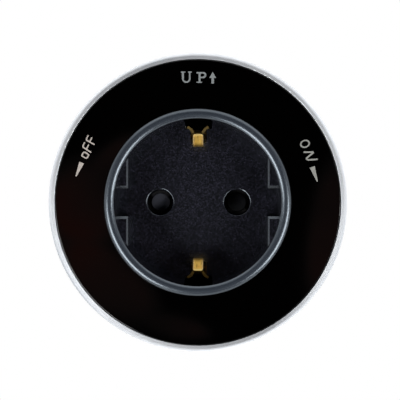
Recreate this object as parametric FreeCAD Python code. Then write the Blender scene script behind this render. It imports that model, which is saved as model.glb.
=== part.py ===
import FreeCAD, Part

import math
import os

from FreeCAD import Vector

# Round socket module that twists onto a power track. Millimetres.
# X is right seen from the front, Y runs back into the track, Z is up.
# The origin is on the module's axis, in the plane where it seats on the track.

# Plug well, for round pins 19 mm apart with side earth contacts
pin_spacing = 19.0
pin_reach = 19.0
pin_hole_diameter = 6.3
pin_hole_round = 0.3
well_diameter = 39.3
well_depth = 17.5
well_wall = 1.65
floor_thickness = 2.2

# Rim of the well, with a rounded crown on top
rim_diameter = 43.6
rim_stand = 1.8
rim_crown = 0.38

# Guide pads at the left and right of the well
pad_chord = 33.3
pad_gap = 6.7
pad_drop = 6.0
pad_bevel_width = 0.4
pad_gap_bevel_width = 0.6
pad_bevel_depth = 0.3

# T-shaped earth slots in the floor and the windows above them
slot_inner_radius = 14.65
slot_width = 4.0
slot_corner = 0.45
window_inner_radius = 18.05
window_width = 6.7
window_top_wall = 1.2
pocket_height = 1.4
pocket_wall = 1.2

# Face ring and trim ring
outer_diameter = 70.0
trim_lip_width = 1.35
trim_wall = 1.0
trim_depth = 8.0
trim_bevel = 0.2
trim_rear_bevel = 0.1
trim_inner_bevel = 0.05
face_thickness = 2.0
face_drop = 0.2
face_edge = 0.2

# Housing
housing_step = 0.5
housing_taper = 0.8
housing_wall = 1.8
housing_plate = 3.0
housing_rear_round = 1.0
shoulder_round = 0.35

# Insert flange that seats behind the housing's front plate
flange_width = 4.0
flange_thickness = 2.0

# Rear cover, with the lugs that stop the turn
cover_thickness = 2.5
stop_radius = 20.0
stop_width = 3.0
stop_angle = 10.0
stop_height = 3.4
cover_rib_height = 1.2
cover_rib_width = 1.2

# Base collar that stands still on the track
collar_diameter = 54.0
collar_thickness = 4.0
collar_edge = 0.8
stop_floor = 1.0
twist_angle = 90.0
slot_lug_inner = 7.2
slot_lug_outer = 13.2
slot_lug_depth = 3.1
slot_lug_height = 11.2
slot_lug_round = 1.0

# Thrust washer
washer_thickness = 0.9
washer_inner_diameter = 14.0
washer_outer_diameter = 26.0

# Track key
neck_diameter = 11.2
head_length = 28.0
head_width = 11.4
head_start = 3.5
head_depth = 14.0
head_chamfer = 1.4
key_flange_diameter = 19.2
key_flange_thickness = 1.8

# Contact carrier and shutter
pin_room = 3.4
carrier_thickness = 2.0
carrier_hole_diameter = 5.8
tower_wall = 1.15
shutter_post_diameter = 4.0
shutter_height = 4.5
shutter_hub_diameter = 9.6
shutter_reach = 13.6
shutter_half_angle = 21.0
shutter_travel = 42.0
wing_thickness = 1.2
ramp_radius = 2.25
ramp_high = 0.25
ramp_low = 2.5
ridge_inner_radius = 2.45
ridge_outer_radius = 2.95
ridge_half_angle = 52.0
stop_rib_width = 1.0
stop_rib_height = 1.8

# Shutter spring
spring_wire = 0.5
spring_diameter = 7.2
spring_pitch = 0.8
spring_turns = 2

# Sheet metal
sleeve_bore = 4.7
sleeve_wall = 0.95
sleeve_slit = 1.0
sleeve_flare = 0.5
link_thickness = 0.8
link_width = 4.0
link_offset = 3.2
link_bend = 0.9
link_lap = 4.0
bridge_thickness = 0.8
bridge_width = 5.0
earth_thickness = 0.6
earth_width = 2.5
earth_root_radius = 17.1
earth_crown_radius = 13.4
earth_end_radius = 16.5
earth_crown_drop = 10.6
earth_end_drop = 7.0
earth_bend = 1.6
earth_edge_round = 0.25
wing_spread = 5.0
wing_rise = 1.5
wing_knee_out = 0.45
wing_knee_rise = 0.85
wing_bend = 1.2
wing_sheet = 0.6
wing_depth = 1.6

# Track contacts
contact_thickness = 0.6
contact_width = 4.0
contact_stand = 0.8
live_contact_depth = 4.9
earth_contact_depth = 11.2
contact_length = 4.8
contact_shoulder = 3.2

# Screws
insert_screw_diameter = 2.2
insert_screw_bite = 2.2
insert_screw_inset = 2.2
carrier_screw_diameter = 2.6
carrier_screw_bite = 4.2
carrier_screw_inset = 3.05
cover_screw_diameter = 2.9
cover_screw_bite = 9.0
cover_screw_inset = 3.1
key_screw_diameter = 2.0
key_screw_bite = 2.0
boss_wall = 1.2
head_ratio = 1.75
head_height_ratio = 0.6
head_edge_ratio = 0.4
point_ratio = 0.6
recess_depth_ratio = 0.55
recess_reach_ratio = 0.6
recess_width_ratio = 0.09

# The screws on each circle start at these angles, clockwise from +X
insert_screw_angle = 45.0
carrier_screw_angle = 45.0
cover_screw_angle = 30.0
key_screw_angle = 90.0

# Clearances
running_gap = 0.1
neck_gap = 0.05
seat_gap = 0.1
slide_gap = 0.3
slot_gap = 0.1

# How far a cutting body runs past the face that it cuts
overrun = 1.0

# How near an edge must lie to a stated place to be picked
near = 0.01

# Places along Y, worked out from the seating plane forwards
collar_front = -collar_thickness
cover_back = collar_front - washer_thickness - running_gap
cover_front = cover_back - cover_thickness
pin_tip = cover_front - pin_room
floor_front = pin_tip - pin_reach
floor_back = floor_front + floor_thickness
rim_front = floor_front - well_depth
face_front = rim_front + rim_stand
face_back = face_front + face_thickness
plate_back = face_back + housing_plate
flange_back = plate_back + flange_thickness
pad_top = rim_front + pad_drop
shutter_front = floor_back + slide_gap
shutter_back = shutter_front + shutter_height
carrier_front = shutter_back + slide_gap
carrier_back = carrier_front + carrier_thickness
tower_back = pin_tip + seat_gap
key_flange_front = cover_front - key_flange_thickness
trim_front = face_front - face_drop
trim_back = trim_front + trim_depth
live_start = head_start + live_contact_depth - contact_shoulder
earth_start = head_start + earth_contact_depth - contact_shoulder

# Radii
well_radius = well_diameter / 2
insert_radius = well_radius + well_wall
rim_radius = rim_diameter / 2
outer_radius = outer_diameter / 2
face_outer_radius = outer_radius - trim_lip_width - seat_gap
face_inner_radius = rim_radius + seat_gap
trim_inner_radius = outer_radius - trim_wall
housing_front_radius = trim_inner_radius - seat_gap
housing_side_radius = outer_radius - housing_step
housing_rear_radius = housing_side_radius - housing_taper
housing_inner_radius = housing_rear_radius - housing_wall
flange_radius = rim_radius + flange_width
pocket_radius = insert_radius + pocket_height
carrier_radius = well_radius - slide_gap / 2
sleeve_radius = sleeve_bore / 2 + sleeve_wall
tower_bore_radius = sleeve_radius + slot_gap
tower_radius = tower_bore_radius + tower_wall
neck_radius = neck_diameter / 2
key_flange_radius = key_flange_diameter / 2

# Screw circles
insert_screw_circle = flange_radius - insert_screw_inset
carrier_screw_circle = well_radius - carrier_screw_inset
cover_screw_circle = housing_inner_radius - cover_screw_inset
key_screw_circle = (neck_radius + key_flange_radius) / 2


def cylinder(radius, y_start, y_end, x=0.0, z=0.0):
    """Round bar along Y."""
    return Part.makeCylinder(radius, y_end - y_start, Vector(x, y_start, z), Vector(0, 1, 0))


def block(x_start, x_end, y_start, y_end, z_start, z_end):
    """Straight bar between two corners."""
    size = Vector(x_end - x_start, y_end - y_start, z_end - z_start)
    return Part.makeBox(size.x, size.y, size.z, Vector(x_start, y_start, z_start))


def turned(profile, crown=None):
    """Revolves a closed outline of (radius, y) points round the module's axis.

    With a crown, the outline's first side is an arc through that point."""
    corners = [Vector(radius, y, 0) for radius, y in profile]
    first_side = [Part.makePolygon(corners[:2])]
    if crown:
        first_side = [Part.Arc(corners[0], Vector(*crown, 0), corners[1]).toShape()]
    outline = Part.Wire(first_side + Part.makePolygon(corners[1:] + corners[:1]).Edges)
    return Part.Face(outline).revolve(Vector(0, 0, 0), Vector(0, 1, 0), 360)


def spun(shape, angle):
    """Copy turned about the module's axis, clockwise seen from the front."""
    copy = shape.copy()
    copy.rotate(Vector(0, 0, 0), Vector(0, 1, 0), angle)
    return copy


def around(shape, count, first=0.0):
    """Copies of a shape evenly round the module's axis."""
    return [spun(shape, first + index * 360.0 / count) for index in range(count)]


def sector(inner, outer, y_start, y_end, half_angle):
    """Arc-shaped bar centred on +X."""
    corners = [
        Vector(inner, y_start, 0),
        Vector(outer, y_start, 0),
        Vector(outer, y_end, 0),
        Vector(inner, y_end, 0),
    ]
    face = Part.Face(Part.makePolygon(corners + corners[:1]))
    face.rotate(Vector(0, 0, 0), Vector(0, 1, 0), -half_angle)
    return face.revolve(Vector(0, 0, 0), Vector(0, 1, 0), 2 * half_angle)


def bent_strip(path, thickness, width, bend_radius):
    """Sheet strip along a path of (u, v) points, bent round arcs, centred on the path.

    The strip is laid in the XY plane with its width along Z."""
    points = [Vector(u, v, 0) for u, v in path]
    half = thickness / 2
    directions = [(b - a).normalize() for a, b in zip(points, points[1:])]
    sides = {1: [], -1: []}
    for side in (1, -1):
        start = points[0] + normal_of(directions[0]) * half * side
        for index in range(1, len(points) - 1):
            entry, exit_way = directions[index - 1], directions[index]
            turn = math.atan2(entry.cross(exit_way).z, entry.dot(exit_way))
            reach = bend_radius * math.tan(abs(turn) / 2)
            hand = 1 if turn > 0 else -1
            corner = points[index]
            centre = corner - entry * reach + normal_of(entry) * bend_radius * hand
            radius = bend_radius - half * side * hand
            first = centre - normal_of(entry) * radius * hand
            last = centre - normal_of(exit_way) * radius * hand
            middle = centre - (normal_of(entry) + normal_of(exit_way)).normalize() * radius * hand
            sides[side].append(Part.LineSegment(start, first).toShape())
            sides[side].append(Part.Arc(first, middle, last).toShape())
            start = last
        end = points[-1] + normal_of(directions[-1]) * half * side
        sides[side].append(Part.LineSegment(start, end).toShape())
    caps = [
        Part.LineSegment(sides[1][-1].Vertexes[-1].Point, sides[-1][-1].Vertexes[-1].Point).toShape(),
        Part.LineSegment(sides[1][0].Vertexes[0].Point, sides[-1][0].Vertexes[0].Point).toShape(),
    ]
    outline = Part.Wire(Part.__sortEdges__(sides[1] + sides[-1] + caps))
    strip = Part.Face(outline).extrude(Vector(0, 0, width))
    strip.translate(Vector(0, 0, -width / 2))
    return strip


def normal_of(direction):
    """Left-hand normal in the XY plane."""
    return Vector(-direction.y, direction.x, 0)


def rounded(shape, radius, rings, x=0.0):
    """Rounds the circular edges that lie at (radius, y) round an axis along Y."""
    chosen = []
    for edge in shape.Edges:
        curve = edge.Curve
        if curve.TypeId != "Part::GeomCircle":
            continue
        centre = curve.Center
        if abs(centre.x - x) > near or abs(centre.z) > near:
            continue
        for ring_radius, ring_y in rings:
            if abs(curve.Radius - ring_radius) < near and abs(centre.y - ring_y) < near:
                chosen.append(edge)
    return shape.makeFillet(radius, chosen)


def long_edges(shape, length):
    """Straight edges along Y of at least this length."""
    found = []
    for edge in shape.Edges:
        if len(edge.Vertexes) != 2 or edge.Curve.TypeId != "Part::GeomLine":
            continue
        run = edge.Vertexes[1].Point - edge.Vertexes[0].Point
        if abs(run.y) >= length and abs(run.x) + abs(run.z) < near:
            found.append(edge)
    return found


def save(name, shape):
    """Writes one named piece."""
    shape.exportStep("parts/" + name + ".step")
    print(name, len(shape.Solids), "solid", round(shape.Volume, 1), "mm3", shape.isValid())


def screw(diameter, length, head_y, radius, angle, way):
    """Cross-recessed pan-head screw beside the axis. The shank runs along way, 1 or -1, from head_y."""
    head_radius = diameter * head_ratio / 2
    head_height = diameter * head_height_ratio
    shank = diameter / 2
    edge = head_height * head_edge_ratio
    point = shank * point_ratio
    outline = [
        (0, way * length),
        (point, way * length),
        (shank, way * (length - point)),
        (shank, 0),
        (head_radius, 0),
        (head_radius, -way * (head_height - edge)),
        (head_radius - edge, -way * head_height),
        (0, -way * head_height),
    ]
    body = turned(outline)
    slot = diameter * recess_width_ratio
    reach = head_radius * recess_reach_ratio
    top = -way * head_height
    bottom = top + way * head_height * recess_depth_ratio
    low, high = sorted((top - way * overrun, bottom))
    for half_x, half_z in ((reach, slot), (slot, reach)):
        body = body.cut(block(-half_x, half_x, low, high, -half_z, half_z))
    body.translate(Vector(radius, head_y, 0))
    return spun(body, angle)


def screw_group(diameter, length, head_y, circle, count, first, way):
    """Identical screws evenly on a circle of this radius."""
    return Part.makeCompound([
        screw(diameter, length, head_y, circle, first + index * 360.0 / count, way)
        for index in range(count)
    ])


def holes(radius, y_start, y_end, circle, count, first):
    """Round holes evenly on a circle of this radius."""
    return [spun(cylinder(radius, y_start, y_end, x=circle), first + index * 360.0 / count)
            for index in range(count)]


def make_face_ring():
    """Flat glossy ring let into the front, with softened edges."""
    ring = turned([
        (face_inner_radius, face_front),
        (face_outer_radius, face_front),
        (face_outer_radius, face_back),
        (face_inner_radius, face_back),
    ])
    return rounded(ring, face_edge, [(face_inner_radius, face_front), (face_outer_radius, face_front)])


def make_trim_ring():
    """Metal hoop: a lip round the face and a skirt down the side."""
    lip_inner = outer_radius - trim_lip_width
    hoop = turned([
        (lip_inner, trim_front),
        (outer_radius, trim_front),
        (outer_radius, trim_back),
        (trim_inner_radius, trim_back),
        (trim_inner_radius, face_back),
        (lip_inner, face_back),
    ])
    hoop = rounded(hoop, trim_bevel, [(outer_radius, trim_front)])
    hoop = rounded(hoop, trim_rear_bevel, [(outer_radius, trim_back)])
    return rounded(hoop, trim_inner_bevel, [(lip_inner, trim_front)])


def guide_pads():
    """Four pads: the round wall cut by a chord each side and parted by a gap."""
    chord = pad_chord / 2
    disc = cylinder(well_radius + well_wall / 2, pad_top, floor_front + floor_thickness / 2)
    pads = []
    for side in (1, -1):
        for level in (1, -1):
            inner, outer = sorted((side * chord, side * 2 * chord))
            low, high = sorted((level * pad_gap / 2, level * 2 * chord))
            pad = disc.common(block(inner, outer, rim_front, floor_back, low, high))
            corner = Vector(side * chord, pad_top, level * pad_gap / 2)
            pads.append(pad.cut([
                bevel_wedge(corner, Vector(side * pad_bevel_width, 0, 0)),
                bevel_wedge(corner, Vector(0, 0, level * pad_gap_bevel_width)),
            ]))
    return pads


def bevel_wedge(corner, across):
    """Wedge that takes a shallow bevel off a straight edge at a pad's top."""
    deep = Vector(0, pad_bevel_depth, 0)
    points = [corner + across * 2 - deep, corner + deep * 2 - across, corner - across - deep]
    face = Part.Face(Part.makePolygon(points + points[:1]))
    along = across.cross(deep).normalize() * well_diameter
    face.translate(along * -1)
    return face.extrude(along * 2)


def earth_slot():
    """T-shaped opening for the earth contact at the top: floor slot, window and pocket."""
    skin = pocket_wall / 2
    window = window_width / 2
    narrow = block(-slot_width / 2, slot_width / 2, floor_front - overrun, floor_back + overrun,
                   slot_inner_radius, window_inner_radius + overrun)
    wide = block(-window, window, rim_front + window_top_wall, floor_back + overrun,
                 window_inner_radius, rim_radius - skin)
    room = block(-window, window, plate_back + skin, floor_back + overrun,
                 window_inner_radius, pocket_radius)
    pieces = []
    for piece in (narrow, wide, room):
        start = piece.BoundBox.ZMin
        corners = [edge for edge in long_edges(piece, overrun) if edge.BoundBox.ZMin < start + slot_corner]
        pieces.append(piece.makeFillet(slot_corner, corners))
    return pieces[0].fuse(pieces[1:])


def make_socket_insert():
    """The well moulding: rim, wall, floor, pads, earth pockets, bosses and flange."""
    outline = [
        (well_radius, rim_front + rim_crown),
        (rim_radius, rim_front + rim_crown),
        (rim_radius, plate_back),
        (flange_radius, plate_back),
        (flange_radius, flange_back),
        (insert_radius, flange_back),
        (insert_radius, floor_back),
        (0, floor_back),
        (0, floor_front),
        (well_radius, floor_front),
    ]
    shell = turned(outline, crown=((well_radius + rim_radius) / 2, rim_front))
    half = window_width / 2 + pocket_wall
    pocket = block(-half, half, plate_back + flange_thickness / 2, floor_back,
                   well_radius + well_wall / 2, pocket_radius + pocket_wall)
    boss = cylinder(carrier_screw_diameter / 2 + boss_wall, floor_back - floor_thickness / 2,
                    carrier_front, x=carrier_screw_circle)
    extras = [pocket, spun(pocket, 180)] + guide_pads() + around(boss, 4, carrier_screw_angle)
    shell = shell.fuse(extras)
    slot = earth_slot()
    cuts = [slot, spun(slot, 180)]
    pin_hole_radius = pin_hole_diameter / 2
    for side in (1, -1):
        cuts.append(cylinder(pin_hole_radius, floor_front - overrun, floor_back + overrun,
                             x=side * pin_spacing / 2))
    cuts += holes(carrier_screw_diameter / 2, carrier_front - carrier_screw_bite - slide_gap,
                  carrier_front + overrun, carrier_screw_circle, 4, carrier_screw_angle)
    cuts += holes(insert_screw_diameter / 2 + slot_gap, plate_back - overrun, flange_back + overrun,
                  insert_screw_circle, 4, insert_screw_angle)
    cuts += holes(cover_screw_diameter / 2 + boss_wall + slide_gap, plate_back - overrun,
                  flange_back + overrun, cover_screw_circle, 3, cover_screw_angle)
    shell = shell.cut(cuts).removeSplitter()
    for side in (1, -1):
        shell = rounded(shell, pin_hole_round, [(pin_hole_radius, floor_front)], side * pin_spacing / 2)
    return shell


def make_body_housing():
    """Cup behind the face: front plate, tapered side, three screw posts on webs."""
    hole = rim_radius + seat_gap
    outline = [
        (hole, face_back),
        (housing_front_radius, face_back),
        (housing_front_radius, trim_back + seat_gap),
        (housing_side_radius, trim_back + seat_gap),
        (housing_rear_radius, cover_back),
        (housing_inner_radius, cover_back),
        (housing_inner_radius, plate_back),
        (hole, plate_back),
    ]
    cup = turned(outline)
    cup = rounded(cup, housing_rear_round, [(housing_rear_radius, cover_back)])
    cup = rounded(cup, shoulder_round, [(housing_side_radius, trim_back + seat_gap)])
    post = cylinder(cover_screw_diameter / 2 + boss_wall, plate_back - housing_plate / 2,
                    cover_front, x=cover_screw_circle)
    web = block(cover_screw_circle, housing_inner_radius + housing_wall / 2,
                plate_back - housing_plate / 2, cover_front, -boss_wall, boss_wall)
    posts = around(post.fuse(web), 3, cover_screw_angle)
    cuts = holes(cover_screw_diameter / 2, cover_front - cover_screw_bite - slide_gap,
                 cover_front + overrun, cover_screw_circle, 3, cover_screw_angle)
    cuts += holes(insert_screw_diameter / 2, plate_back - insert_screw_bite - slot_gap,
                  plate_back + overrun, insert_screw_circle, 4, insert_screw_angle)
    return cup.fuse(posts).cut(cuts).removeSplitter()


def make_rear_cover():
    """Round cover with ribs inside, two stop lugs outside and countersunk screw seats."""
    bore = neck_radius + slot_gap
    plate = turned([
        (bore, cover_front),
        (housing_inner_radius - seat_gap, cover_front),
        (housing_inner_radius - seat_gap, cover_back),
        (bore, cover_back),
    ])
    lug = sector(stop_radius - stop_width / 2, stop_radius + stop_width / 2,
                 cover_back - cover_thickness / 2, cover_back + stop_height, stop_angle / 2)
    rib_end = cover_screw_circle - cover_screw_diameter / 2 - 2 * boss_wall
    rib = block(key_flange_radius + seat_gap, rib_end, cover_front - cover_rib_height,
                cover_front + cover_thickness / 2, -cover_rib_width / 2, cover_rib_width / 2)
    ring = turned([
        (rib_end - cover_rib_width, cover_front - cover_rib_height),
        (rib_end, cover_front - cover_rib_height),
        (rib_end, cover_front + cover_thickness / 2),
        (rib_end - cover_rib_width, cover_front + cover_thickness / 2),
    ])
    plate = plate.fuse(around(lug, 2) + around(rib, 6) + [ring])
    head = cover_screw_diameter * head_ratio / 2 + slot_gap
    seat = cover_back - cover_screw_diameter * head_height_ratio - slot_gap
    cuts = holes(cover_screw_diameter / 2 + slot_gap, cover_front - overrun, cover_back + overrun,
                 cover_screw_circle, 3, cover_screw_angle)
    cuts += holes(head, seat, cover_back + overrun, cover_screw_circle, 3, cover_screw_angle)
    cuts += holes(key_screw_diameter / 2, cover_front - overrun, cover_front + key_screw_bite + slot_gap,
                  key_screw_circle, 2, key_screw_angle)
    return plate.cut(cuts).removeSplitter()


def make_base_collar():
    """Disc on the track: neck bore, two arc pockets for the stops, two lugs for the slot."""
    radius = collar_diameter / 2
    disc = turned([
        (neck_radius + neck_gap, collar_front),
        (radius, collar_front),
        (radius, 0),
        (neck_radius + neck_gap, 0),
    ])
    disc = rounded(disc, collar_edge, [(radius, collar_front), (radius, 0)])
    play = math.degrees(slot_gap / stop_radius)
    pocket = sector(stop_radius - stop_width / 2 - slide_gap, stop_radius + stop_width / 2 + slide_gap,
                    collar_front - overrun, -stop_floor, (stop_angle + twist_angle) / 2 + play)
    lug = block(slot_lug_inner, slot_lug_outer, -collar_thickness / 2, slot_lug_depth,
                -slot_lug_height / 2, slot_lug_height / 2)
    outer = [edge for edge in long_edges(lug, slot_lug_depth) if edge.BoundBox.XMin > slot_lug_outer - near]
    lug = lug.makeFillet(slot_lug_round, outer)
    disc = disc.cut(around(pocket, 2, twist_angle / 2))
    return disc.fuse(around(lug, 2)).removeSplitter()


def make_thrust_washer():
    """Plain washer on the collar's front."""
    inner, outer = washer_inner_diameter / 2, washer_outer_diameter / 2
    return turned([
        (inner, collar_front - washer_thickness),
        (outer, collar_front - washer_thickness),
        (outer, collar_front),
        (inner, collar_front),
    ])


def channel(reach_in, y_start, y_end):
    """Room for a track contact, open at the head's end."""
    half = contact_width / 2 + slot_gap
    return block(reach_in, head_length, y_start, y_end, -half, half)


def link_slot(x, y_end):
    """Slot through the neck for a link."""
    half_x = link_thickness / 2 + slot_gap
    half_z = link_width / 2 + slot_gap
    return block(x - half_x, x + half_x, key_flange_front - overrun, y_end, -half_z, half_z)


def make_track_key():
    """Flange, neck and T-shaped head with rounded ends and a chamfered tip."""
    flange = cylinder(key_flange_radius, key_flange_front, cover_front)
    neck = cylinder(neck_radius, key_flange_front, head_start + head_depth / 2)
    half = head_width / 2
    head_end = head_start + head_depth
    head = cylinder(head_length / 2, head_start, head_end)
    head = head.common(block(-head_length, head_length, head_start, head_end, -half, half))
    tip = [edge for edge in head.Edges if edge.BoundBox.YMin > head_end - near]
    head = head.makeChamfer(head_chamfer, tip)
    key = flange.fuse([neck, head])
    live = channel(link_offset, live_start, live_start + contact_length)
    earth = channel(0, earth_start, earth_start + contact_length)
    cuts = [live, spun(live, 180), earth, spun(earth, 180)]
    for side in (1, -1):
        cuts.append(link_slot(side * link_offset, live_start + contact_length))
    cuts.append(link_slot(0, earth_start + contact_length / 2))
    cuts += holes(key_screw_diameter / 2 + slot_gap, key_flange_front - overrun, cover_front + overrun,
                  key_screw_circle, 2, key_screw_angle)
    return key.cut(cuts).removeSplitter()


def make_contact_carrier():
    """Plate with the shutter's post in front and a tower behind for each pin sleeve."""
    plate = cylinder(carrier_radius, carrier_front, carrier_back)
    post = cylinder(shutter_post_diameter / 2, floor_back, carrier_front + carrier_thickness / 2)
    rib_angle = math.degrees(stop_rib_width / shutter_reach)
    gap_angle = math.degrees(slot_gap / shutter_reach)
    rib = sector(shutter_hub_diameter, shutter_reach, carrier_front - stop_rib_height,
                 carrier_front + carrier_thickness / 2, rib_angle / 2)
    closed = -(shutter_half_angle + rib_angle / 2 + gap_angle)
    opened = shutter_travel - closed
    extras = [post] + around(rib, 2, closed) + around(rib, 2, opened)
    cuts = []
    for side in (1, -1):
        x = side * pin_spacing / 2
        extras.append(cylinder(tower_radius, carrier_back - carrier_thickness / 2, tower_back, x=x))
        cuts.append(cylinder(carrier_hole_diameter / 2, carrier_front - overrun,
                             carrier_back + overrun, x=x))
        cuts.append(cylinder(tower_bore_radius, carrier_back, tower_back + overrun, x=x))
        half = link_width / 2 + slot_gap
        inner, outer = sorted((x, x - side * (tower_radius + overrun)))
        slit_start = tower_back - link_lap - slide_gap
        cuts.append(block(inner, outer, slit_start, tower_back + overrun, -half, half))
    notch = block(-window_width / 2, window_width / 2, carrier_front - overrun, carrier_back + overrun,
                  earth_root_radius - 2 * earth_thickness, 2 * carrier_radius)
    cuts += around(notch, 2)
    cuts += holes(carrier_screw_diameter / 2 + slot_gap, carrier_front - overrun, carrier_back + overrun,
                  carrier_screw_circle, 4, carrier_screw_angle)
    return plate.fuse(extras).cut(cuts).removeSplitter()


def make_shutter():
    """Two wings on a hub. Each carries a round ramp that a pin pushes aside, and an arc-shaped ridge."""
    hub = cylinder(shutter_hub_diameter / 2, shutter_front, shutter_back)
    wing = sector(shutter_hub_diameter / 4, shutter_reach, shutter_back - wing_thickness,
                  shutter_back, shutter_half_angle)
    centre = pin_spacing / 2
    foot = shutter_back - wing_thickness / 2
    ramp = cylinder(ramp_radius, shutter_front, foot, x=centre)
    slope = [
        Vector(0, shutter_front - overrun, -ramp_radius),
        Vector(0, shutter_front + ramp_high, -ramp_radius),
        Vector(0, shutter_front + ramp_low, ramp_radius),
        Vector(0, shutter_front - overrun, ramp_radius),
    ]
    wedge = Part.Face(Part.makePolygon(slope + slope[:1])).extrude(Vector(4 * ramp_radius, 0, 0))
    wedge.translate(Vector(centre - 2 * ramp_radius, 0, 0))
    ridge = spun(sector(ridge_inner_radius, ridge_outer_radius, shutter_front, foot, ridge_half_angle), 90)
    ridge.translate(Vector(centre, 0, 0))
    blade = wing.fuse([ramp.cut(wedge), ridge])
    bore = cylinder(shutter_post_diameter / 2 + neck_gap, shutter_front - overrun, shutter_back + overrun)
    groove = cylinder(spring_diameter / 2 + spring_wire / 2 + slot_gap, shutter_back - spring_room(),
                      shutter_back + overrun)
    return hub.fuse(around(blade, 2)).cut([bore, groove]).removeSplitter()


def spring_room():
    """Height that the spring's coils take in the hub."""
    return spring_turns * spring_pitch + 2 * spring_wire


def make_shutter_spring():
    """Torsion spring round the shutter's post."""
    radius = spring_diameter / 2
    start = shutter_back - spring_room() + spring_wire
    helix = Part.makeHelix(spring_pitch, spring_pitch * spring_turns, radius)
    helix.rotate(Vector(0, 0, 0), Vector(1, 0, 0), -90)
    helix.translate(Vector(0, start, 0))
    path = Part.Wire(helix.Edges)
    first = path.Edges[0].Vertexes[0].Point
    tangent = path.Edges[0].tangentAt(path.Edges[0].FirstParameter)
    section = Part.Wire(Part.makeCircle(spring_wire / 2, first, tangent))
    return path.makePipeShell([section], True, True)


def make_pin_sleeve(side):
    """Split brass sleeve with a flared mouth."""
    bore = sleeve_bore / 2
    sleeve = turned([
        (bore + sleeve_flare, carrier_back),
        (sleeve_radius, carrier_back),
        (sleeve_radius, tower_back),
        (bore, tower_back),
        (bore, carrier_back + 2 * sleeve_flare),
    ])
    slit = block(0, 2 * sleeve_radius, carrier_back - overrun, tower_back + overrun,
                 -sleeve_slit / 2, sleeve_slit / 2)
    sleeve = sleeve.cut(slit)
    sleeve.translate(Vector(pin_spacing / 2, 0, 0))
    return spun(sleeve, 0 if side > 0 else 180)


def make_pin_link(side):
    """Strip from a sleeve, stepped in and run back through the neck."""
    lap_x = pin_spacing / 2 - sleeve_radius - link_thickness / 2
    step_y = (tower_back + key_flange_front) / 2
    path = [
        (lap_x, tower_back - link_lap),
        (lap_x, step_y),
        (link_offset, step_y),
        (link_offset, live_start + contact_length - slide_gap),
    ]
    strip = bent_strip(path, link_thickness, link_width, link_bend)
    return spun(strip, 0 if side > 0 else 180)


def make_earth_bridge():
    """Strip across the carrier's back, slotted at both ends for the earth contacts."""
    half = bridge_width / 2
    end = earth_root_radius + earth_thickness * 2
    strip = block(-half, half, carrier_back, carrier_back + bridge_thickness, -end, end)
    slot_x = earth_width / 2 + slot_gap
    slot = block(-slot_x, slot_x, carrier_back - overrun, carrier_back + bridge_thickness + overrun,
                 earth_root_radius - earth_thickness / 2 - slot_gap,
                 earth_root_radius + earth_thickness / 2 + slot_gap)
    strip = strip.makeFillet(bridge_width / 4, long_edges(strip, bridge_thickness))
    return strip.cut([slot, spun(slot, 180)])


def make_earth_link():
    """Strip from the bridge's middle back through the neck."""
    foot_y = carrier_back + bridge_thickness + link_thickness / 2
    path = [
        (link_lap, foot_y),
        (0, foot_y),
        (0, earth_start + slot_gap),
    ]
    return bent_strip(path, link_thickness, link_width, link_bend)


def make_earth_contact(angle):
    """Springy tongue with softened edges, bent to a crown, with two curved wings at its front end."""
    crown = earth_crown_radius + earth_thickness / 2
    end_y = rim_front + earth_end_drop
    path = [
        (earth_root_radius, carrier_back + bridge_thickness),
        (earth_root_radius, floor_front - earth_thickness),
        (crown - earth_thickness / 2, rim_front + earth_crown_drop),
        (earth_end_radius, end_y),
    ]
    tongue = bent_strip(path, earth_thickness, earth_width, earth_bend)
    edges = [edge for edge in tongue.Edges
             if abs(edge.CenterOfMass.z) > earth_width / 2 - near and edge.Length > 2 * earth_thickness]
    tongue = tongue.makeFillet(earth_edge_round, edges)
    wings = []
    for side in (1, -1):
        root = earth_width / 2 - wing_sheet / 4
        wing = bent_strip([
            (side * root, earth_end_radius),
            (side * (root + wing_knee_out), earth_end_radius + wing_knee_rise),
            (side * wing_spread / 2, earth_end_radius + wing_rise),
        ], wing_sheet, wing_depth, wing_bend)
        wing.rotate(Vector(0, 0, 0), Vector(1, 1, 1), -120)
        wing.translate(Vector(0, end_y + wing_depth / 2, 0))
        wings.append(wing)
    return spun(tongue.fuse(wings).removeSplitter(), angle)


def contact_path(inner_x, shoulder_y):
    """Outline of a sprung track contact that bulges past the head's end."""
    end = head_length / 2
    depth = contact_length - 2 * contact_thickness
    return [
        (inner_x, shoulder_y),
        (end - contact_stand, shoulder_y),
        (end + contact_stand, shoulder_y + depth / 2),
        (end - contact_shoulder, shoulder_y + depth),
    ]


def make_live_contact(angle):
    """Spring strip from a link to the head's end."""
    path = contact_path(link_offset + link_thickness / 2, live_start + contact_thickness / 2 + slot_gap)
    return spun(bent_strip(path, contact_thickness, contact_width, contact_thickness), angle)


def make_earth_track_contact():
    """One strip through the head that bulges out at both ends."""
    one = contact_path(0, earth_start + contact_thickness / 2 + slot_gap)
    path = [(-x, y) for x, y in reversed(one)][:-1] + one[1:]
    return bent_strip(path, contact_thickness, contact_width, contact_thickness)


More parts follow.
